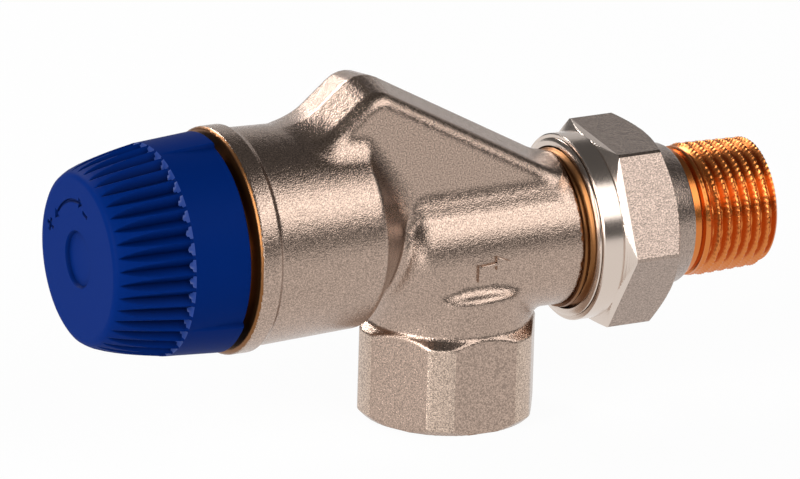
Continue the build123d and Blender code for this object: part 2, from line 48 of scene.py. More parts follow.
BAND_R = 18.35
BAND_LENGTH = 3.4
BAND_CHAMFER = 0.45
BAND_EDGE_R = 0.45
BAND_STEP = 0.75
BAND_FOOT_R = 0.6
BACK_X = -19.8
BACK_R = 16.9
BACK_EDGE_R = 2.0
CONE_ANGLE = math.radians(48.0)
CONE_END_R = 5.5
TUBE_R = 12.2
TUBE_START_X = -8.0
TUBE_BLUNTNESS = 1.55
TUBE_END_X = 17.9
BODY_END_X = 27.5
COLLAR_X = 29.0
COLLAR_END_X = 31.8
TAIL_END_X = 54.5
NECK_START_Z = 12
NECK_R = 13.6
NECK_TOP = 22.4
SHOULDER_R = 1.6
CROWN_R = 11.2
CROWN_Z = 24.4
HEX_FLAT = 13.9
HEX_CORNER_R = 15.0
HEX_H = 14.8
HEX_CHAMFER = 1.4
HEX_MOUTH_R = 13.9
HEX_EDGE_R = 0.25
CREST_X = -17.5
CREST_Z = 59.7
CREST_R = 5.5
RISE = math.radians(40.0)
FALL = math.radians(29.0)
DUCT_HALF = 8.0
DUCT_EDGE_R = 2.2
DUCT_FOOT_X = -20.5
DUCT_SETBACK = 0.4
DRAFT = math.radians(10.0)
TUBE_JOIN_R = 1.8
NECK_JOIN_R = 1.5
DUCT_JOIN_R = 2.6
HEX_JOIN_R = 0.3
CAP_FACE_X = -66.2
CAP_SKIRT_X = -43.97
GROOVE_END_X = CAP_FACE_X + 12.6

# Sizes of the flow path
THREAD_BORE_R = 13.0
THREAD_BORE_END_X = -31.0
CHAMBER_R = 12.0
CHAMBER_END_X = -20.0
SEAT_OUTER_R = 7.4
SEAT_X = -20.5
SEAT_R = 6.5
SEAT_END_X = -13.0
INLET_THREAD_R = 10.48
INLET_THREAD_TOP = 13.5
INLET_R = 8.8
INLET_START_Z = 14.5
INLET_END_Z = 29.0
INLET_TIP_Z = 33.4
CROSSING_Z = 30.5
CROSSING_START_X = -14.0
CROSSING_END_X = 4.4
DUCT_WALL = 3.6
DUCT_BORE_H = 4.8
DUCT_BORE_HALF = 5
DUCT_BORE_START_X = -29.0
DUCT_BORE_END_X = 16.0
DUCT_BORE_FOOT_Z = BARREL_Z + 11
DUCT_BORE_DROP_Z = TAIL_Z + 4.6
DUCT_FLOOR_X = -21.0
TAIL_BORE_R = 9.2
TAIL_BORE_X = 11.2


# Signed distances, negative inside
def outline(u, v, corners):
    """Distance to a closed polygon."""
    near = np.full(u.shape, 1e9, np.float32)
    inside = np.zeros(u.shape, bool)
    for (ax, ay), (bx, by) in zip(corners, corners[1:] + corners[:1]):
        ex, ey = bx - ax, by - ay
        pu, pv = u - ax, v - ay
        along = np.clip((pu * ex + pv * ey) / (ex * ex + ey * ey), 0, 1)
        near = np.minimum(near, (pu - ex * along) ** 2 + (pv - ey * along) ** 2)
        if ey:
            inside ^= ((ay > v) != (by > v)) & (pu < ex * pv / ey)
    return np.where(inside, -1, 1) * np.sqrt(near)


def rounded(corners, fillets):
    """The same polygon with corner number i turned into an arc of radius fillets[i]."""
    out = []
    count = len(corners)
    for i, corner in enumerate(corners):
        if i not in fillets:
            out.append(corner)
            continue
        radius = fillets[i]
        here = np.array(corner)
        back = np.array(corners[i - 1]) - here
        front = np.array(corners[(i + 1) % count]) - here
        back /= np.linalg.norm(back)
        front /= np.linalg.norm(front)
        half = math.acos(float(back @ front)) / 2
        reach = radius / math.tan(half)
        middle = here + (back + front) / np.linalg.norm(back + front) * radius / math.sin(half)
        first = here + back * reach - middle
        last = here + front * reach - middle
        start = math.atan2(first[1], first[0])
        end = math.atan2(last[1], last[0])
        turn = (end - start + math.pi) % (2 * math.pi) - math.pi
        for k in range(ARC_STEPS + 1):
            angle = start + turn * k / ARC_STEPS
            along, across = radius * math.cos(angle), radius * math.sin(angle)
            out.append((middle[0] + along, middle[1] + across))
    return out


def join(a, b, radius):
    """Union with a rounded inner corner."""
    corner = np.hypot(np.maximum(radius - a, 0), np.maximum(radius - b, 0))
    return np.maximum(np.minimum(a, b), radius) - corner


def meet(a, b, radius):
    """Overlap with a rounded outer corner."""
    corner = np.hypot(np.maximum(radius + a, 0), np.maximum(radius + b, 0))
    return np.minimum(np.maximum(a, b), -radius) + corner


band_end_x = BARREL_FACE_X + BAND_LENGTH
cone_end_x = BACK_X + (BACK_R - CONE_END_R) / math.tan(CONE_ANGLE)
barrel_outline = rounded(
    [
        (BARREL_FACE_X, PAST_AXIS),
        (BARREL_FACE_X, BAND_R - BAND_CHAMFER),
        (BARREL_FACE_X + BAND_CHAMFER, BAND_R),
        (band_end_x, BAND_R),
        (band_end_x + BAND_STEP, BAND_R - BAND_STEP),
        (BACK_X, BACK_R),
        (cone_end_x, CONE_END_R),
        (cone_end_x, PAST_AXIS),
    ],
    {3: BAND_EDGE_R, 4: BAND_FOOT_R, 5: BACK_EDGE_R},
)
duct_start_z = BARREL_Z + BACK_R
duct_start_x = CREST_X - (CREST_Z - duct_start_z) / math.tan(RISE)
duct_end_x = TUBE_END_X - DUCT_SETBACK
duct_end_z = CREST_Z - (duct_end_x - CREST_X) * math.tan(FALL)
duct_outline = rounded(
    [
        (duct_start_x - 1, duct_start_z - math.tan(RISE)),
        (CREST_X, CREST_Z),
        (duct_end_x, duct_end_z),
        (duct_end_x, TAIL_Z + TUBE_R / 2),
        (DUCT_FOOT_X, BARREL_Z),
        (duct_start_x - 1, BARREL_Z),
    ],
    {1: CREST_R},
)
neck_outline = rounded(
    [
        (PAST_AXIS, NECK_START_Z),
        (NECK_R, NECK_START_Z),
        (NECK_R, NECK_TOP),
        (CROWN_R, CROWN_Z),
        (CROWN_R, TAIL_Z),
        (PAST_AXIS, TAIL_Z),
    ],
    {2: SHOULDER_R},
)
hex_outline = [
    (PAST_AXIS, 0),
    (HEX_MOUTH_R, 0),
    (HEX_CORNER_R, HEX_CORNER_R - HEX_MOUTH_R),
    (HEX_CORNER_R, HEX_H),
    (NECK_R, HEX_H + HEX_CHAMFER),
    (PAST_AXIS, HEX_H + HEX_CHAMFER),
]
barrel_bore = [
    (BARREL_FACE_X - PAST_FACE, PAST_AXIS),
    (BARREL_FACE_X - PAST_FACE, THREAD_BORE_R),
    (THREAD_BORE_END_X, THREAD_BORE_R),
    (THREAD_BORE_END_X, CHAMBER_R),
    (CHAMBER_END_X, CHAMBER_R),
    (CHAMBER_END_X, SEAT_OUTER_R),
    (SEAT_X, SEAT_OUTER_R),
    (SEAT_X, SEAT_R),
    (SEAT_END_X, SEAT_R),
    (SEAT_END_X, PAST_AXIS),
]
inlet_bore = [
    (PAST_AXIS, -PAST_FACE),
    (INLET_THREAD_R, -PAST_FACE),
    (INLET_THREAD_R, INLET_THREAD_TOP),
    (INLET_R, INLET_START_Z),
    (INLET_R, INLET_END_Z),
    (0, INLET_TIP_Z),
    (PAST_AXIS, INLET_TIP_Z),
]
roof_z = CREST_Z - DUCT_WALL / math.cos(FALL)


def roof(x, slope):
    """Height of the duct bore's roof at x, on the side of the crest with this slope."""
    return roof_z + (x - CREST_X) * math.tan(slope)


duct_bore = [
    (DUCT_BORE_START_X, DUCT_BORE_FOOT_Z),
    (DUCT_BORE_START_X, roof(DUCT_BORE_START_X, RISE)),
    (CREST_X, roof_z),
    (DUCT_BORE_END_X, roof(DUCT_BORE_END_X, -FALL)),
    (DUCT_BORE_END_X, DUCT_BORE_DROP_Z),
    (TAIL_BORE_X, DUCT_BORE_DROP_Z),
    (TAIL_BORE_X, roof(TAIL_BORE_X, -FALL) - DUCT_BORE_H / math.cos(FALL)),
    (DUCT_FLOOR_X, roof_z - DUCT_BORE_H),
    (DUCT_FLOOR_X, DUCT_BORE_FOOT_Z),
]


def casting_outside(x, y, z):
    around_barrel = np.hypot(y, z - BARREL_Z)
    around_tail = np.hypot(y, z - TAIL_Z)
    across = np.abs(y)
    barrel = outline(x, around_barrel, barrel_outline)
    tube = np.hypot(np.minimum(x - TUBE_START_X, 0) * TUBE_BLUNTNESS, around_tail) - TUBE_R
    tube = np.maximum(tube, x - TUBE_END_X)
    neck = outline(np.hypot(x, y), z, neck_outline)
    duct = (outline(x, z, duct_outline) + across * math.tan(DRAFT)) * math.cos(DRAFT)
    duct = meet(duct, across - DUCT_HALF, DUCT_EDGE_R)
    flats = across - HEX_FLAT
    for turn in (30, 150):
        c, s = math.cos(math.radians(turn)), math.sin(math.radians(turn))
        flats = np.maximum(flats, np.abs(x * c + y * s) - HEX_FLAT)
    hexagon = meet(flats, outline(np.hypot(x, y), z, hex_outline), HEX_EDGE_R)
    body = join(barrel, tube, TUBE_JOIN_R)
    body = join(body, neck, NECK_JOIN_R)
    body = join(body, duct, DUCT_JOIN_R)
    return join(body, hexagon, HEX_JOIN_R)


def casting_inside(x, y, z):
    around_barrel = np.hypot(y, z - BARREL_Z)
    around_tail = np.hypot(y, z - TAIL_Z)
    hollow = outline(x, around_barrel, barrel_bore)
    hollow = np.minimum(hollow, outline(np.hypot(x, y), z, inlet_bore))
    crossing_ends = np.maximum(x - CROSSING_END_X, CROSSING_START_X - x)
    crossing = np.maximum(np.hypot(y, z - CROSSING_Z) - SEAT_R, crossing_ends)
    tail_ends = np.maximum(TAIL_BORE_X - x, x - BODY_END_X - PAST_FACE)
    tail = np.maximum(around_tail - TAIL_BORE_R, tail_ends)
    duct = np.maximum(outline(x, z, duct_bore), np.abs(y) - DUCT_BORE_HALF)
    return np.minimum(np.minimum(hollow, crossing), np.minimum(tail, duct))


def casting(x, y, z):
    return np.maximum(casting_outside(x, y, z), -casting_inside(x, y, z))


# Coarse cells nearer to the surface than this many of their widths are made fine
NEAR_CELLS = 1.3


def net(distance, low, high, coarse, fine):
    """Points and quads of the surface where distance is nought, on a grid fine near it."""
    step = coarse / fine
    cells = [int(math.ceil((b - a) / coarse)) for a, b in zip(low, high)]
    axes = [a + coarse * (np.arange(n) + 0.5) for a, n in zip(low, cells)]
    x, y, z = np.meshgrid(*axes, indexing="ij")
    rough = distance(x, y, z).astype(np.float32)
    field = rough.repeat(fine, 0).repeat(fine, 1).repeat(fine, 2)
    near = np.argwhere(np.abs(rough) < coarse * NEAR_CELLS)
    offsets = (np.arange(fine) + 0.5) * step
    ox, oy, oz = np.meshgrid(offsets, offsets, offsets, indexing="ij")
    x = low[0] + near[:, 0, None, None, None] * coarse + ox
    y = low[1] + near[:, 1, None, None, None] * coarse + oy
    z = low[2] + near[:, 2, None, None, None] * coarse + oz
    exact = distance(x, y, z).astype(np.float32)
    ia = near[:, 0, None] * fine + np.arange(fine)
    ja = near[:, 1, None] * fine + np.arange(fine)
    ka = near[:, 2, None] * fine + np.arange(fine)
    field[ia[:, :, None, None], ja[:, None, :, None], ka[:, None, None, :]] = exact
    inside = field < 0
    a, b, c = (n - 1 for n in field.shape)
    count = np.zeros((a, b, c), np.int8)
    for i in (0, 1):
        for j in (0, 1):
            for k in (0, 1):
                count += inside[i : a + i, j : b + j, k : c + k]
    mixed = (count > 0) & (count < 8)
    number = np.full(mixed.shape, -1, np.int32)
    number[mixed] = np.arange(mixed.sum())
    points = np.argwhere(mixed) * step + np.array(low) + step
    quads = []
    for axis in range(3):
        one = [slice(1, -1)] * 3
        two = [slice(1, -1)] * 3
        one[axis] = slice(0, -1)
        two[axis] = slice(1, None)
        first, second = inside[tuple(one)], inside[tuple(two)]
        edge = np.argwhere(first != second)
        starts = first[first != second]
        base = edge + 1
        base[:, axis] -= 1
        u = np.zeros(3, int)
        v = np.zeros(3, int)
        u[(axis + 1) % 3] = 1
        v[(axis + 2) % 3] = 1
        ring = [number[tuple((base - s).T)] for s in (u + v, v, u * 0, u)]
        quad = np.stack(ring, 1)
        quad[~starts] = quad[~starts][:, ::-1]
        quads.append(quad)
    return points, np.concatenate(quads)


SLOPE_STEP = 0.02
LEAST_SLOPE = 0.25
LONGEST_MOVE = 0.3


def settle(points, quads, distance, rounds):
    """Evens the net out and lays it on the surface."""
    h = SLOPE_STEP
    a = quads.ravel()
    b = np.roll(quads, 1, axis=1).ravel()
    count = np.bincount(a, minlength=len(points)) + np.bincount(b, minlength=len(points))
    for turn in range(rounds):
        if turn < rounds - 1:
            total = np.zeros_like(points)
            for k in range(3):
                total[:, k] = np.bincount(a, points[b, k], len(points))
                total[:, k] += np.bincount(b, points[a, k], len(points))
            points = 0.5 * points + 0.5 * total / count[:, None]
        for _ in range(2):
            x, y, z = points.T
            d = distance(x, y, z)
            slope = np.stack(
                [
                    distance(x + h, y, z) - distance(x - h, y, z),
                    distance(x, y + h, z) - distance(x, y - h, z),
                    distance(x, y, z + h) - distance(x, y, z - h),
                ],
                1,
            ) / (2 * h)
            size = np.maximum((slope**2).sum(1), LEAST_SLOPE)
            points = points - np.clip(d / size, -LONGEST_MOVE, LONGEST_MOVE)[:, None] * slope
    return points


def mesh_object(name, points, faces, body, materials, smooth_angle):
    mesh = bpy.data.meshes.new(name)
    points = np.asarray(points, np.float32) * MM
    faces = np.asarray(faces)
    mesh.vertices.add(len(points))
    mesh.vertices.foreach_set("co", points.ravel())
    mesh.loops.add(faces.size)
    mesh.loops.foreach_set("vertex_index", faces.ravel().astype(np.int32))
    mesh.polygons.add(len(faces))
    starts = np.arange(len(faces)) * faces.shape[1]
    mesh.polygons.foreach_set("loop_start", starts.astype(np.int32))
    mesh.polygons.foreach_set("use_smooth", np.ones(len(faces), bool))
    mesh.update(calc_edges=True)
    mesh.validate()
    mesh.set_sharp_from_angle(angle=math.radians(smooth_angle))
    obj = bpy.data.objects.new(name, mesh)
    bpy.context.scene.collection.objects.link(obj)
    for material in materials:
        mesh.materials.append(material)
    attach(obj, body)
    return obj


def turned(
    name, rows, segments, centre_z, body, materials, smooth_angle=35, axis="x", closed=True
):
    """A ring of rows round an axis. Each row holds its place along the axis and its radius,
    as numbers or as one value per segment."""
    angle = np.arange(segments) * 2 * math.pi / segments
    points = []
    for place, radius in rows:
        place = np.broadcast_to(place, segments)
        radius = np.broadcast_to(radius, segments)
        across, up = radius * np.cos(angle), radius * np.sin(angle)
        if axis == "x":
            points.append(np.stack([place, -across, centre_z + up], 1))
        else:
            points.append(np.stack([across, up, place], 1))
    count = len(rows)
    i = np.arange(count if closed else count - 1)[:, None]
    j = np.arange(segments)[None, :]
    here, there = i * segments, (i + 1) % count * segments
    side = (j + 1) % segments
    quads = np.stack([here + j, here + side, there + side, there + j], -1).reshape(-1, 4)
    return mesh_object(name, np.concatenate(points), quads, body, materials, smooth_angle)


# Materials
def material(name, colour, metallic, roughness):
    made = bpy.data.materials.new(name)
    made.use_nodes = True
    shader = made.node_tree.nodes["Principled BSDF"]
    shader.inputs["Base Color"].default_value = (*colour, 1)
    shader.inputs["Metallic"].default_value = metallic
    shader.inputs["Roughness"].default_value = roughness
    return made, made.node_tree, shader


def add(tree, kind, **inputs):
    node = tree.nodes.new(kind)
    for name, value in inputs.items():
        node.inputs[name.replace("_", " ")].default_value = value
    return node


def maths(tree, operation, *values):
    """Result of a math node. Each value is a number or another node's output."""
    node = tree.nodes.new("ShaderNodeMath")
    node.operation = operation
    for entry, value in zip(node.inputs, values):
        if isinstance(value, (int, float)):
            entry.default_value = value
        else:
            tree.links.new(value, entry)
    return node.outputs[0]


SPECKLE_FROM = (0.32, 0.68)


def grain(tree, shader, parts, speckle=None):
    """Bump from noises, each with a scale per millimetre, a height in millimetres and a detail.
    The first noise also darkens and lightens the colour by the share in speckle.
    Returns the node that places the noises."""
    place = tree.nodes.new("ShaderNodeTexCoord")
    height = 0
    for scale, size, detail in parts:
        noise = add(tree, "ShaderNodeTexNoise", Scale=scale / MM, Detail=detail, Roughness=0.55)
        tree.links.new(place.outputs["Object"], noise.inputs["Vector"])
        height = maths(tree, "MULTIPLY_ADD", noise.outputs["Fac"], size, height)
        if speckle:
            shades = tree.nodes.new("ShaderNodeMapRange")
            shades.inputs["From Min"].default_value = SPECKLE_FROM[0]
            shades.inputs["From Max"].default_value = SPECKLE_FROM[1]
            shades.inputs["To Min"].default_value = 1 - speckle
            shades.inputs["To Max"].default_value = 1 + speckle
            tree.links.new(noise.outputs["Fac"], shades.inputs["Value"])
            tint = tree.nodes.new("ShaderNodeVectorMath")
            tint.operation = "SCALE"
            tint.inputs[0].default_value = shader.inputs["Base Color"].default_value[:3]
            tree.links.new(shades.outputs["Result"], tint.inputs["Scale"])
            tree.links.new(tint.outputs[0], shader.inputs["Base Color"])
            speckle = None
    bump = add(tree, "ShaderNodeBump", Strength=1.0, Distance=MM)
    tree.links.new(height, bump.inputs["Height"])
    tree.links.new(bump.outputs["Normal"], shader.inputs["Normal"])
    return place


nickel, tree, shader = material("nickel_casting", (0.415, 0.310, 0.250), 1.0, 0.24)
grain(tree, shader, [(4.5, 0.05, 1.0), (1.2, 0.04, 2.0)], 0.35)

nickel_nut, tree, shader = material("nickel_nut", (0.36, 0.28, 0.235), 1.0, 0.26)
grain(tree, shader, [(4.2, 0.05, 1.0), (0.8, 0.04, 2.0)], 0.3)

# Turned faces have their grain drawn out round the axis
nickel_turned, tree, shader = material("nickel_turned", (0.66, 0.56, 0.49), 1.0, 0.20)
place = grain(tree, shader, [(9.0, 0.012, 2.0)])
stretch = add(tree, "ShaderNodeMapping", Scale=(1, 0.02, 0.02))
tree.links.new(place.outputs["Object"], stretch.inputs["Vector"])
for node in tree.nodes:
    if node.bl_idname == "ShaderNodeTexNoise":
        tree.links.new(stretch.outputs["Vector"], node.inputs["Vector"])

brass, tree, shader = material("brass", (0.62, 0.20, 0.052), 1.0, 0.27)
grain(tree, shader, [(4.0, 0.012, 2.0)])

# A lighter nickel for the hexagon's turned corners: a painted highlight that marks the corner
# edges
nickel_corner_highlight, tree, shader = material("nickel_corner_highlight", (0.53, 0.41, 0.33), 1.0, 0.26)
grain(tree, shader, [(4.5, 0.06, 1.0), (1.2, 0.04, 2.0)], 0.45)

cut_brass, tree, shader = material("cut_brass", (0.22, 0.095, 0.034), 1.0, 0.35)
grain(tree, shader, [(3.0, 0.012, 2.0)])

inner_brass, tree, shader = material("inner_brass", (0.74, 0.52, 0.30), 1.0, 0.30)
grain(tree, shader, [(3.0, 0.01, 2.0)])

stainless, tree, shader = material("stainless", (0.60, 0.59, 0.57), 1.0, 0.25)
grain(tree, shader, [(4.0, 0.006, 2.0)])

rubber, tree, shader = material("rubber_seal", (0.025, 0.025, 0.027), 0.0, 0.6)
grain(tree, shader, [(5.0, 0.008, 2.0)])

white_seal, tree, shader = material("white_seal", (0.80, 0.78, 0.74), 0.0, 0.45)
grain(tree, shader, [(4.0, 0.006, 2.0)])

fibre, tree, shader = material("fibre_seal", (0.30, 0.10, 0.05), 0.0, 0.8)
grain(tree, shader, [(4.0, 0.04, 4.0)])

# The blue plastic gets painted shade down in its grooves: an ambient occlusion mix darkens its
# colour there
BLUE = (0.0003, 0.015, 0.122)
GROOVE_SHADE_BLUE = (0.0, 0.0015, 0.016)
GROOVE_SHADE_REACH = 1.6
plastic, tree, shader = material("blue_plastic", BLUE, 0.0, 0.5)
shader.inputs["Specular IOR Level"].default_value = 0.02
grain(tree, shader, [(2.5, 0.012, 3.0)])
shade = add(tree, "ShaderNodeAmbientOcclusion", Distance=GROOVE_SHADE_REACH * MM)
shade.samples = 8
blues = tree.nodes.new("ShaderNodeMix")
blues.data_type = "RGBA"
blues.inputs["A"].default_value = (*GROOVE_SHADE_BLUE, 1)
blues.inputs["B"].default_value = (*BLUE, 1)
tree.links.new(maths(tree, "POWER", shade.outputs["AO"], 2.1), blues.inputs["Factor"])
tree.links.new(blues.outputs["Result"], shader.inputs["Base Color"])

# A lighter blue for the grooves' end walls: painted light, brighter than the rest of the cap
plastic_painted_light_wall, tree, shader = material("blue_plastic_painted_light_wall", (0.002, 0.028, 0.18), 0.0, 0.5)
grain(tree, shader, [(2.5, 0.012, 3.0)])

# Casting: plated outside, bare brass in its bores and on its machined ends
CASTING_LOW = (-43.9, -19.4, -1.2)
CASTING_HIGH = (19.1, 19.4, 60.6)
CELL = 1.2
SKIN = 0.12
BRASS_BAND = 0.42
points, quads = net(casting, CASTING_LOW, CASTING_HIGH, CELL, 4)
points = settle(points, quads, casting, 4)
finishes = [nickel, inner_brass, cut_brass, nickel_corner_highlight]
body = mesh_object("forged_body", points, quads, "valve_body", finishes, 38)
x, y, z = points[quads].mean(1).T
on_inside = casting_inside(x, y, z) < SKIN
machined = (x < BARREL_FACE_X + BRASS_BAND) | (z < SKIN) | (x > TUBE_END_X - SKIN)
# The hexagon's turned corners take the painted highlight
on_corner_highlight = (z < HEX_H + 0.2) & (np.hypot(x, y) > HEX_CORNER_R - SKIN)
slots = np.select([on_inside, machined, on_corner_highlight], [1, 2, 3], 0)
body.data.polygons.foreach_set("material_index", slots.astype(np.int32))
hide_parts("body_casting")


# Flow arrow on the side of the tube: a stem, a shaft and a head
ARROW_HEIGHT = 0.6
ARROW_EDGE = 0.12
ARROW_SHOULDER = 0.85
ARROW_SINK = 0.3
OUTSIDE_Y = -18.0
INSIDE_Y = -6.0
HALVINGS = 24


def side_of_casting(x, z):
    """The casting's y on its near side at x and z."""
    out, within = np.full(x.shape, OUTSIDE_Y), np.full(x.shape, INSIDE_Y)
    for _ in range(HALVINGS):
        y = (out + within) / 2
        outside = casting_outside(x, y, z) > 0
        out = np.where(outside, y, out)
        within = np.where(outside, within, y)
    return out


def raised(corners, name):
    """A patch between four corners (x, z), lifted off the casting, with its border sunk in."""
    a, b, c, d = (np.array(corner, float) for corner in corners)
    longer_side = max(np.linalg.norm(d - a), np.linalg.norm(c - b))
    rows = []
    for length in (np.linalg.norm(b - a), longer_side):
        edge = ARROW_EDGE / length
        flat_part = np.linspace(2.5 * edge, 1 - 2.5 * edge, 8)
        rows.append(np.concatenate([[0, edge], flat_part, [1 - edge, 1]]))
    u, v = np.meshgrid(*rows, indexing="ij")
    flat = a[:, None, None] * (1 - u) * (1 - v) + b[:, None, None] * u * (1 - v)
    flat = flat + c[:, None, None] * u * v + d[:, None, None] * (1 - u) * v
    lift = np.full(u.shape, ARROW_HEIGHT * -ARROW_SINK)
    lift[1:-1, 1:-1] = ARROW_HEIGHT * ARROW_SHOULDER
    lift[2:-2, 2:-2] = ARROW_HEIGHT
    y = side_of_casting(flat[0], flat[1]) - lift
    points = np.stack([flat[0], y, flat[1]], -1).reshape(-1, 3)
    n, m = u.shape
    i, j = np.meshgrid(np.arange(n - 1), np.arange(m - 1), indexing="ij")
    here, there = i * m + j, (i + 1) * m + j
    quads = np.stack([here, there, there + 1, here + 1], -1).reshape(-1, 4)
    piece = mesh_object(name, points, quads, "valve_body", [nickel], 40)


raised(((-1.2, 25.3), (-0.55, 25.3), (-0.65, 28.2), (-1.3, 28.4)), "flow_arrow_stem")
raised(((-0.8, 27.5), (2.2, 27.85), (2.2, 28.5), (-0.8, 28.2)), "flow_arrow_shaft")
raised(((2.0, 27.0), (4.6, 28.2), (4.6, 28.35), (2.0, 29.5)), "flow_arrow_head")

# Threads, all with the pitch of a half-inch or three-quarter-inch pipe thread
PITCH = 1.814
CREST_FLAT = 0.2
RUNOUT = 1.8
START_SINK = 0.35
NOTCH = 0.12
EDGE = 0.2


def thread_rows(start, end, step, crest, depth, segments, out=1, teeth=0):
    """Rows of a right-hand thread, with its crest radius as a function of the place along it.
    Its roots rise at the start. With teeth, that many notches a turn roughen its crests."""
    angle = np.arange(segments) * 2 * math.pi / segments
    rows = []
    for x in np.arange(start, end + step / 2, step):
        phase = (x / PITCH + out * angle / (2 * math.pi)) % 1
        tooth = np.clip((np.abs(phase * 2 - 1) - CREST_FLAT / 2) / (1 - CREST_FLAT), 0, 1)
        deep = min(1, max(0, (x - start) / RUNOUT))
        notch = NOTCH * tooth**3 * deep * (0.5 + 0.5 * np.cos(teeth * angle)) if teeth else 0
        root = depth * (1 - tooth) * deep
        rows.append((x, crest(x) - notch - root - depth * START_SINK * (1 - deep)))
    return rows


TAIL_SEGMENTS = 432
TAIL_COLLAR_R = 12.9
TAIL_NECK_R = 10.3
TAIL_ROOT_R = 9.9
TAIL_THREAD_X = 41.1
TAIL_THREAD_DEPTH = 1.16
TAIL_INNER_R = 7.9
GAUGE_X = 43
GAUGE_R = 10.86
KEY_END_X = 40.5
KEY_CORNER_R = 7.74
KEY_FLAT = 6.7


def tail_crest(x):
    """The tail's thread tapers by one in thirty-two on its radius."""
    return GAUGE_R - (x - GAUGE_X) / 32


key_angle = (np.arange(TAIL_SEGMENTS) * 360 / TAIL_SEGMENTS - 30) % 60 - 30
key = KEY_FLAT / np.cos(np.radians(key_angle))
tail_rows = [
    (COLLAR_X, 8.0),
    (COLLAR_X, TAIL_COLLAR_R - EDGE),
    (COLLAR_X + EDGE, TAIL_COLLAR_R),
    (COLLAR_END_X - EDGE, TAIL_COLLAR_R),
    (COLLAR_END_X, TAIL_COLLAR_R - EDGE),
    (COLLAR_END_X, TAIL_NECK_R),
    (TAIL_THREAD_X - 0.7, TAIL_NECK_R),
    (TAIL_THREAD_X - 0.2, TAIL_ROOT_R),
    *thread_rows(
        TAIL_THREAD_X,
        TAIL_END_X - 0.4,
        0.1,
        tail_crest,
        TAIL_THREAD_DEPTH,
        TAIL_SEGMENTS,
        teeth=72,
    ),
    (TAIL_END_X - 0.15, TAIL_ROOT_R),
    (TAIL_END_X, TAIL_ROOT_R - EDGE),
    (TAIL_END_X, TAIL_INNER_R + EDGE),
    (TAIL_END_X - EDGE, TAIL_INNER_R),
    (KEY_END_X, TAIL_INNER_R),
    (KEY_END_X, KEY_CORNER_R),
    (COLLAR_X + 10, key),
    (COLLAR_X + EDGE, key),
    (COLLAR_X, key + EDGE),
]
tail_piece = turned(
    "threaded_tailpiece", tail_rows, TAIL_SEGMENTS, TAIL_Z, "tail", [brass]
)
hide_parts("tailpiece")

UNION_SEGMENTS = 180
UNION_X = 17.6
UNION_THREAD_X = 18.0
UNION_THREAD_R = 13.1
UNION_THREAD_DEPTH = 1.12
UNION_CORE_R = 12.0
union_threads = thread_rows(
    UNION_THREAD_X,
    BODY_END_X - 0.4,
    0.1,
    lambda x: UNION_THREAD_R,
    UNION_THREAD_DEPTH,
    UNION_SEGMENTS,
)
union_rows = [
    (UNION_X, TAIL_BORE_R + 0.1),
    (UNION_X, UNION_CORE_R),
    (UNION_THREAD_X, UNION_CORE_R),
    *union_threads,
    (BODY_END_X - EDGE, 11.6),
    (BODY_END_X, 11.3),
    (BODY_END_X, TAIL_BORE_R + EDGE),
    (BODY_END_X - EDGE, TAIL_BORE_R),
    (UNION_X + 0.1, TAIL_BORE_R),
]
union_thread = turned(
    "union_thread", union_rows, UNION_SEGMENTS, TAIL_Z, "valve_body", [cut_brass]
)
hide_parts("body_casting")

INLET_SEGMENTS = 144
INLET_RIDGE_Z = (0.9, 13.3)
INLET_RIDGE_DEPTH = 1.1
INLET_RIDGE_ROOT_R = 10.5
INLET_RIDGE_CREST_R = 9.35
INLET_RIDGE_BACK_R = 10.6
inlet_threads = thread_rows(
    *INLET_RIDGE_Z, 0.15, lambda z: INLET_RIDGE_ROOT_R, INLET_RIDGE_DEPTH, INLET_SEGMENTS, out=-1
)
inlet_rows = [(z, INLET_RIDGE_ROOT_R + INLET_RIDGE_CREST_R - r) for z, r in inlet_threads]
inlet_rows += [(z, INLET_RIDGE_BACK_R) for z in INLET_RIDGE_Z[::-1]]
inlet_thread = turned(
    "inlet_thread_ridges", inlet_rows, INLET_SEGMENTS, 0, "valve_body", [inner_brass], axis="z"
)

# Hand cap: profile, grip grooves that deepen towards their end wall, and marks cut in the face
CAP_SEGMENTS = 720
CAP_FACE_R = 12.9
CAP_SHOULDER_R = 17.1
CAP_SKIRT_R = 17.75
CAP_EDGE_X = CAP_FACE_X + 0.95
CAP_PROFILE = (
    (-66.2, 12.9),
    (-66.1, 13.35),
    (-65.8, 13.8),
    (-65.25, 14.15),
    (-64.6, 14.5),
    (-62.9, 15.1),
    (-61.2, 15.58),
    (-59.5, 16.0),
    (-57.8, 16.36),
    (-56.1, 16.68),
    (-54.4, 16.97),
    (-53.6, 17.1),
)
CAP_INSIDE = (
    (CAP_SKIRT_X, 15.0),
    (-55.0, 15.0),
    (-55.0, 13.7),
    (-64.2, 12.0),
    (-64.2, 5.0),
    (-61.0, 5.0),
    (-61.0, 3.5),
    (-62.5, 3.5),
    (-62.5, 0),
)
GROOVES = 40
GROOVE_FLOORS = (14.0, 15.75)
GROOVE_FLOOR_R = 15.5
GROOVE_RUNOUT = 0.6
GROOVE_SLOPE = math.tan(math.radians(46))
PAD_MIDDLES = (114.5, 294.5)
PAD_HALF = 34
PAD_SOFTNESS = 1.2
ARC_R = 9.5
ARC_HALF = 0.2
ARC_END = 56
HEAD_LENGTH = 1.1
HEAD_SLOPE = 0.62
SIGN_HALF = 0.22
MARK_DEPTH = 0.35
RECESS_R = 4.5
RECESS_DEPTH = 0.6
cap_angle = np.arange(CAP_SEGMENTS) * 360 / CAP_SEGMENTS


def cap_profile(x):
    places, radii = zip(*CAP_PROFILE)
    return float(np.interp(x, places, radii))


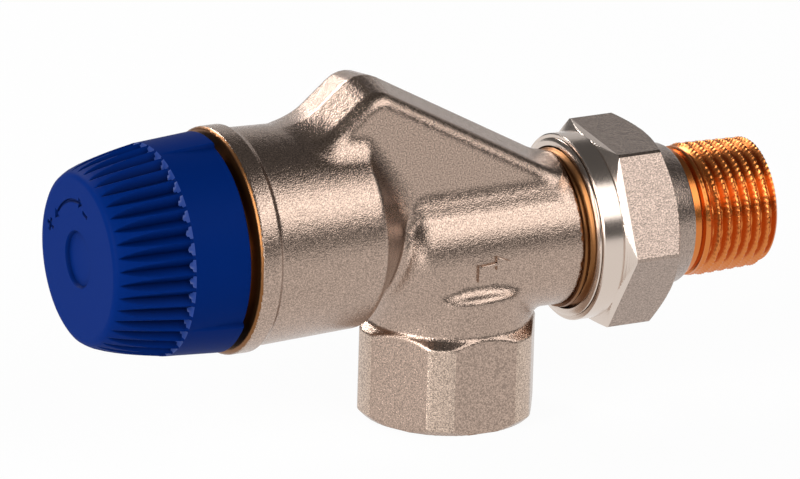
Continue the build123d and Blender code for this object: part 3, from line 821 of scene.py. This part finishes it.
def cap_grooved(x):
    """Radius round the cap with the grooves cut into its profile."""
    outer = cap_profile(x)
    floor = float(np.interp(x, (CAP_EDGE_X, GROOVE_END_X), GROOVE_FLOORS))
    step = 360 / GROOVES
    off = np.radians(np.abs((cap_angle + step / 2) % step - step / 2))
    wall = floor / (np.cos(off) - np.sin(off) / GROOVE_SLOPE)
    rise = (x - GROOVE_END_X + GROOVE_RUNOUT) * (CAP_SHOULDER_R - GROOVE_FLOOR_R)
    end_wall = GROOVE_FLOOR_R + rise / GROOVE_RUNOUT
    return np.minimum(outer, np.maximum(wall, end_wall))


def on_pad():
    """One on the two raised pads, nought between them."""
    share = np.zeros(CAP_SEGMENTS)
    for middle_angle in PAD_MIDDLES:
        off = np.abs((cap_angle - middle_angle + 180) % 360 - 180)
        share = np.maximum(share, np.clip((PAD_HALF - off) / PAD_SOFTNESS + 0.5, 0, 1))
    return share


def face_depth(radius):
    """How deep the marks lie at a radius of the face, one value per segment."""
    y = -radius * np.cos(np.radians(cap_angle))
    z = radius * np.sin(np.radians(cap_angle))
    from_top = np.degrees(np.arctan2(y, z))
    # The arc, its two arrowheads, then the plus and the minus
    past_end = np.maximum(-from_top - 1, from_top - ARC_END - 1) * 0.16
    marks = np.maximum(np.abs(radius - ARC_R) - ARC_HALF, past_end)
    for end, turn in ((0, -1), (ARC_END, 1)):
        c, s = math.cos(math.radians(end)), math.sin(math.radians(end))
        u = (y - ARC_R * s) * c * turn - (z - ARC_R * c) * s * turn
        v = radius - ARC_R
        head = np.maximum(np.abs(v) - HEAD_SLOPE * (HEAD_LENGTH - u), -u - 0.15)
        head = np.maximum(head, u - HEAD_LENGTH)
        head = np.maximum(head, -y * s - z * c)
        marks = np.minimum(marks, head * 0.8)
    for my, mz, reach, cross in ((10.2, 2.7, 1.1, True), (-2.2, 8.1, 0.85, False)):
        a = math.atan2(my, mz)
        c, s = math.cos(a), math.sin(a)
        u = (y - my) * c - (z - mz) * s
        v = (y - my) * s + (z - mz) * c
        marks = np.minimum(marks, np.maximum(np.abs(u) - reach, np.abs(v) - SIGN_HALF))
        if cross:
            marks = np.minimum(marks, np.maximum(np.abs(v) - reach, np.abs(u) - SIGN_HALF))
    cut = MARK_DEPTH * np.clip(0.5 - marks / 0.14, 0, 1)
    recess = RECESS_DEPTH * np.clip(0.5 - (radius - RECESS_R) / 0.3, 0, 1)
    return cut + recess


cap_rows = [(CAP_FACE_X + face_depth(r), r) for r in np.linspace(0, CAP_FACE_R, 108)]
cap_rows += [(x, cap_profile(x)) for x in (-66.1, -65.95, -65.8, -65.5)]
cap_rows += [(x, cap_grooved(x)) for x in np.linspace(CAP_EDGE_X, GROOVE_END_X - 0.06, 48)]
cap_rows += [(GROOVE_END_X, np.full(CAP_SEGMENTS, CAP_SHOULDER_R))]
pad_rise = on_pad() * (CAP_SKIRT_R - CAP_SHOULDER_R)
for x in np.linspace(GROOVE_END_X + 0.3, CAP_SKIRT_X - 0.15, 8):
    share = (x - GROOVE_END_X) / (CAP_SKIRT_X - GROOVE_END_X)
    cap_rows += [(x, CAP_SHOULDER_R + pad_rise * share)]
cap_rows += [(CAP_SKIRT_X, CAP_SHOULDER_R - 0.15 + pad_rise), *CAP_INSIDE]
hand_cap = turned(
    "ribbed_hand_cap",
    cap_rows,
    CAP_SEGMENTS,
    BARREL_Z,
    "hand_cap",
    [plastic, plastic_painted_light_wall],
    30,
    closed=False,
)

# The grooves' end walls get a lighter blue and no painted groove shade: painted light, as if lit
# more than the rest of the cap
cap_places = np.array([np.broadcast_to(place, CAP_SEGMENTS) for place, radius in cap_rows])
cap_radii = np.array([np.broadcast_to(radius, CAP_SEGMENTS) for place, radius in cap_rows])
wall_start_x = GROOVE_END_X - GROOVE_RUNOUT
at_end = (cap_places[:-1] > wall_start_x - 0.3) & (cap_places[1:] <= GROOVE_END_X)
end_walls = at_end & (np.diff(cap_radii, axis=0) > 0.8 * np.diff(cap_places, axis=0))
before_end = int(np.argmax(cap_places[:, 0] > wall_start_x - 0.02))
end_walls &= cap_radii[before_end] < CAP_SHOULDER_R - 0.55
hand_cap.data.polygons.foreach_set("material_index", end_walls.ravel().astype(np.int32))
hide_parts("cap")

# Union nut: turned bead, collar and corner cone, rough flats and hub
NUT_SEGMENTS = 720
NUT_FLAT = 15.0
NUT_CORNER_R = 17.15
NUT_COLLAR_R = 15.2
NUT_BEAD_R = 14.5
NUT_GROOVE_R = 14.3
NUT_HUB_R = 12.2
NUT_BORE_R = 10.9
NUT_THREAD_R = 13.22
NUT_FRONT_X = 19.5
NUT_HEX_X = 23.75
NUT_CONE_X = 25.15
NUT_REAR_X = 32.65
NUT_HUB_X = 33.9
NUT_END_X = 38.8
NUT_TURN = 3.5
FRONT_CONE_SLOPE = 1.54
REAR_CONE_SLOPE = 1.72
nut_off = (np.arange(NUT_SEGMENTS) * 360 / NUT_SEGMENTS + NUT_TURN) % 60 - 30
nut_hexagon = NUT_FLAT / np.cos(np.radians(nut_off))


def nut_row(x, limit):
    """The hexagon at x, with its corners turned down to the radius in limit."""
    return x, np.minimum(nut_hexagon, limit)


front_cone = [
    nut_row(x, NUT_FLAT + (x - NUT_HEX_X) * FRONT_CONE_SLOPE)
    for x in np.linspace(NUT_HEX_X, NUT_CONE_X, 16)
]
rear_cone = [
    nut_row(x, NUT_CORNER_R - (x - NUT_REAR_X) * REAR_CONE_SLOPE)
    for x in np.linspace(NUT_REAR_X + 0.1, NUT_HUB_X, 12)
]
nut_rows = [
    (NUT_FRONT_X, 13.3),
    (NUT_FRONT_X, 13.75),
    (NUT_FRONT_X + 0.1, 14.1),
    (NUT_FRONT_X + 0.3, 14.45),
    (NUT_FRONT_X + 0.5, NUT_BEAD_R),
    (NUT_FRONT_X + 0.52, NUT_GROOVE_R),
    (NUT_FRONT_X + 0.62, NUT_GROOVE_R),
    (NUT_FRONT_X + 0.66, NUT_COLLAR_R - 0.2),
    (NUT_FRONT_X + 0.8, NUT_COLLAR_R),
    (NUT_HEX_X - 0.25, NUT_COLLAR_R),
    (NUT_HEX_X - 0.15, NUT_COLLAR_R - 0.1),
    (NUT_HEX_X - 0.05, NUT_COLLAR_R - 0.22),
    *front_cone,
    *(nut_row(x, NUT_CORNER_R) for x in np.linspace(NUT_CONE_X + 0.1, NUT_REAR_X, 6)),
    *rear_cone,
    (NUT_HUB_X + 0.05, NUT_HUB_R + 0.7),
    (NUT_HUB_X + 0.35, NUT_HUB_R + 0.15),
    (NUT_HUB_X + 0.7, NUT_HUB_R),
    (NUT_END_X - 0.4, 11.45),
    (NUT_END_X, 11.25),
    (NUT_END_X, NUT_BORE_R),
    (COLLAR_END_X, NUT_BORE_R),
    (COLLAR_END_X, NUT_THREAD_R),
    (NUT_FRONT_X + 0.1, NUT_THREAD_R),
]
union_nut = turned(
    "faceted_union_nut",
    nut_rows,
    NUT_SEGMENTS,
    TAIL_Z,
    "nut",
    [nickel_nut, nickel_turned],
    24,
)
in_collar = [NUT_FRONT_X - 0.01 <= x < NUT_CONE_X - 0.02 for x, radius in nut_rows]
nut_slots = np.repeat(np.array(in_collar, np.int32), NUT_SEGMENTS)
union_nut.data.polygons.foreach_set("material_index", nut_slots)
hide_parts("union_nut")

# Materials of the CAD pieces that stay
kept = {
    "bonnet": cut_brass,
    "bonnet_o_ring": rubber,
    "gland_o_ring": rubber,
    "gland_washer": white_seal,
    "gland_nut": inner_brass,
    "spring_cup": inner_brass,
    "return_spring": stainless,
    "spindle_pin": stainless,
    "valve_stem": inner_brass,
    "retaining_clip": stainless,
    "spring_collar": inner_brass,
    "plug_holder": inner_brass,
    "plug_seal": rubber,
    "plug_nut": inner_brass,
    "cap": plastic,
    "cap_thrust_pad": inner_brass,
    "union_nut": nickel_nut,
    "tailpiece": brass,
    "tail_seal": fibre,
    "body_casting": nickel,
}
for name, finish in kept.items():
    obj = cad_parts[name]
    obj.data.materials.clear()
    obj.data.materials.append(finish)

# Floor: it reads as white to the camera and in the metal, and keeps a little of the shadow
FLOOR_HALF = 0.9
FLOOR_SHARE = 0.95
floor_corners = [
    (-FLOOR_HALF, -FLOOR_HALF, 0),
    (FLOOR_HALF, -FLOOR_HALF, 0),
    (FLOOR_HALF, FLOOR_HALF, 0),
    (-FLOOR_HALF, FLOOR_HALF, 0),
]
floor_mesh = bpy.data.meshes.new("floor")
floor_mesh.from_pydata(floor_corners, [], [(0, 1, 2, 3)])
floor = bpy.data.objects.new("floor", floor_mesh)
bpy.context.scene.collection.objects.link(floor)
paper, tree, shader = material("paper", (0.86, 0.86, 0.86), 0.0, 0.9)
rays = tree.nodes.new("ShaderNodeLightPath").outputs
white = add(tree, "ShaderNodeEmission", Strength=1.0, Color=(1, 1, 1, 1))
mix = tree.nodes.new("ShaderNodeMixShader")
seen = maths(tree, "MAXIMUM", rays["Is Camera Ray"], rays["Is Glossy Ray"])
seen = maths(tree, "MAXIMUM", seen, rays["Is Transmission Ray"])
tree.links.new(maths(tree, "MULTIPLY", seen, FLOOR_SHARE), mix.inputs["Fac"])
tree.links.new(shader.outputs[0], mix.inputs[1])
tree.links.new(white.outputs[0], mix.inputs[2])
tree.links.new(mix.outputs[0], tree.nodes["Material Output"].inputs["Surface"])
floor_mesh.materials.append(paper)

# World and lamps
world = bpy.data.worlds.new("studio")
bpy.context.scene.world = world
world.use_nodes = True
background = world.node_tree.nodes["Background"]
background.inputs["Color"].default_value = (1, 1, 1, 1)
background.inputs["Strength"].default_value = 0.10
middle = Vector((-0.006, 0, 0.033))


def softbox(name, direction, size, radiance):
    """A lamp a metre off that looks as bright as radiance, where white paper is about 1."""
    data = bpy.data.lights.new(name, "AREA")
    data.shape = "RECTANGLE"
    data.size, data.size_y = size
    data.energy = radiance * 4 * size[0] * size[1]
    obj = bpy.data.objects.new(name, data)
    bpy.context.scene.collection.objects.link(obj)
    obj.location = middle + Vector(direction).normalized()
    obj.rotation_euler = (middle - obj.location).to_track_quat("-Z", "Y").to_euler()


softbox("key", (0.43, -0.66, 0.60), (1.3, 0.62), 1.9)
softbox("behind", (-0.25, 0.84, 0.50), (0.5, 0.3), 9.0)
softbox("back", (0.48, 0.84, 0.26), (1.1, 0.55), 0.42)
softbox("left", (-0.95, -0.25, 0.30), (0.5, 0.7), 7.2)
softbox("low", (-0.52, -0.80, 0.12), (0.5, 0.2), 3.0)

# Camera
side = Vector((0.89227, -0.45069, 0.02716))
up = Vector((0.12640, 0.30707, 0.94327))
ahead = Vector((0.43346, 0.83821, -0.33095))
camera_data = bpy.data.cameras.new("camera")
camera_data.sensor_width = 36
camera_data.lens = 590.43
camera_data.clip_start = 0.1
camera_data.clip_end = 20
camera = bpy.data.objects.new("camera", camera_data)
bpy.context.scene.collection.objects.link(camera)
camera.matrix_world = Matrix.Translation((-0.91946, -1.76066, 0.72487)) @ Matrix(
    ((side.x, up.x, -ahead.x), (side.y, up.y, -ahead.y), (side.z, up.z, -ahead.z))
).to_4x4()
bpy.context.scene.camera = camera
bpy.context.scene.view_settings.view_transform = "Standard"
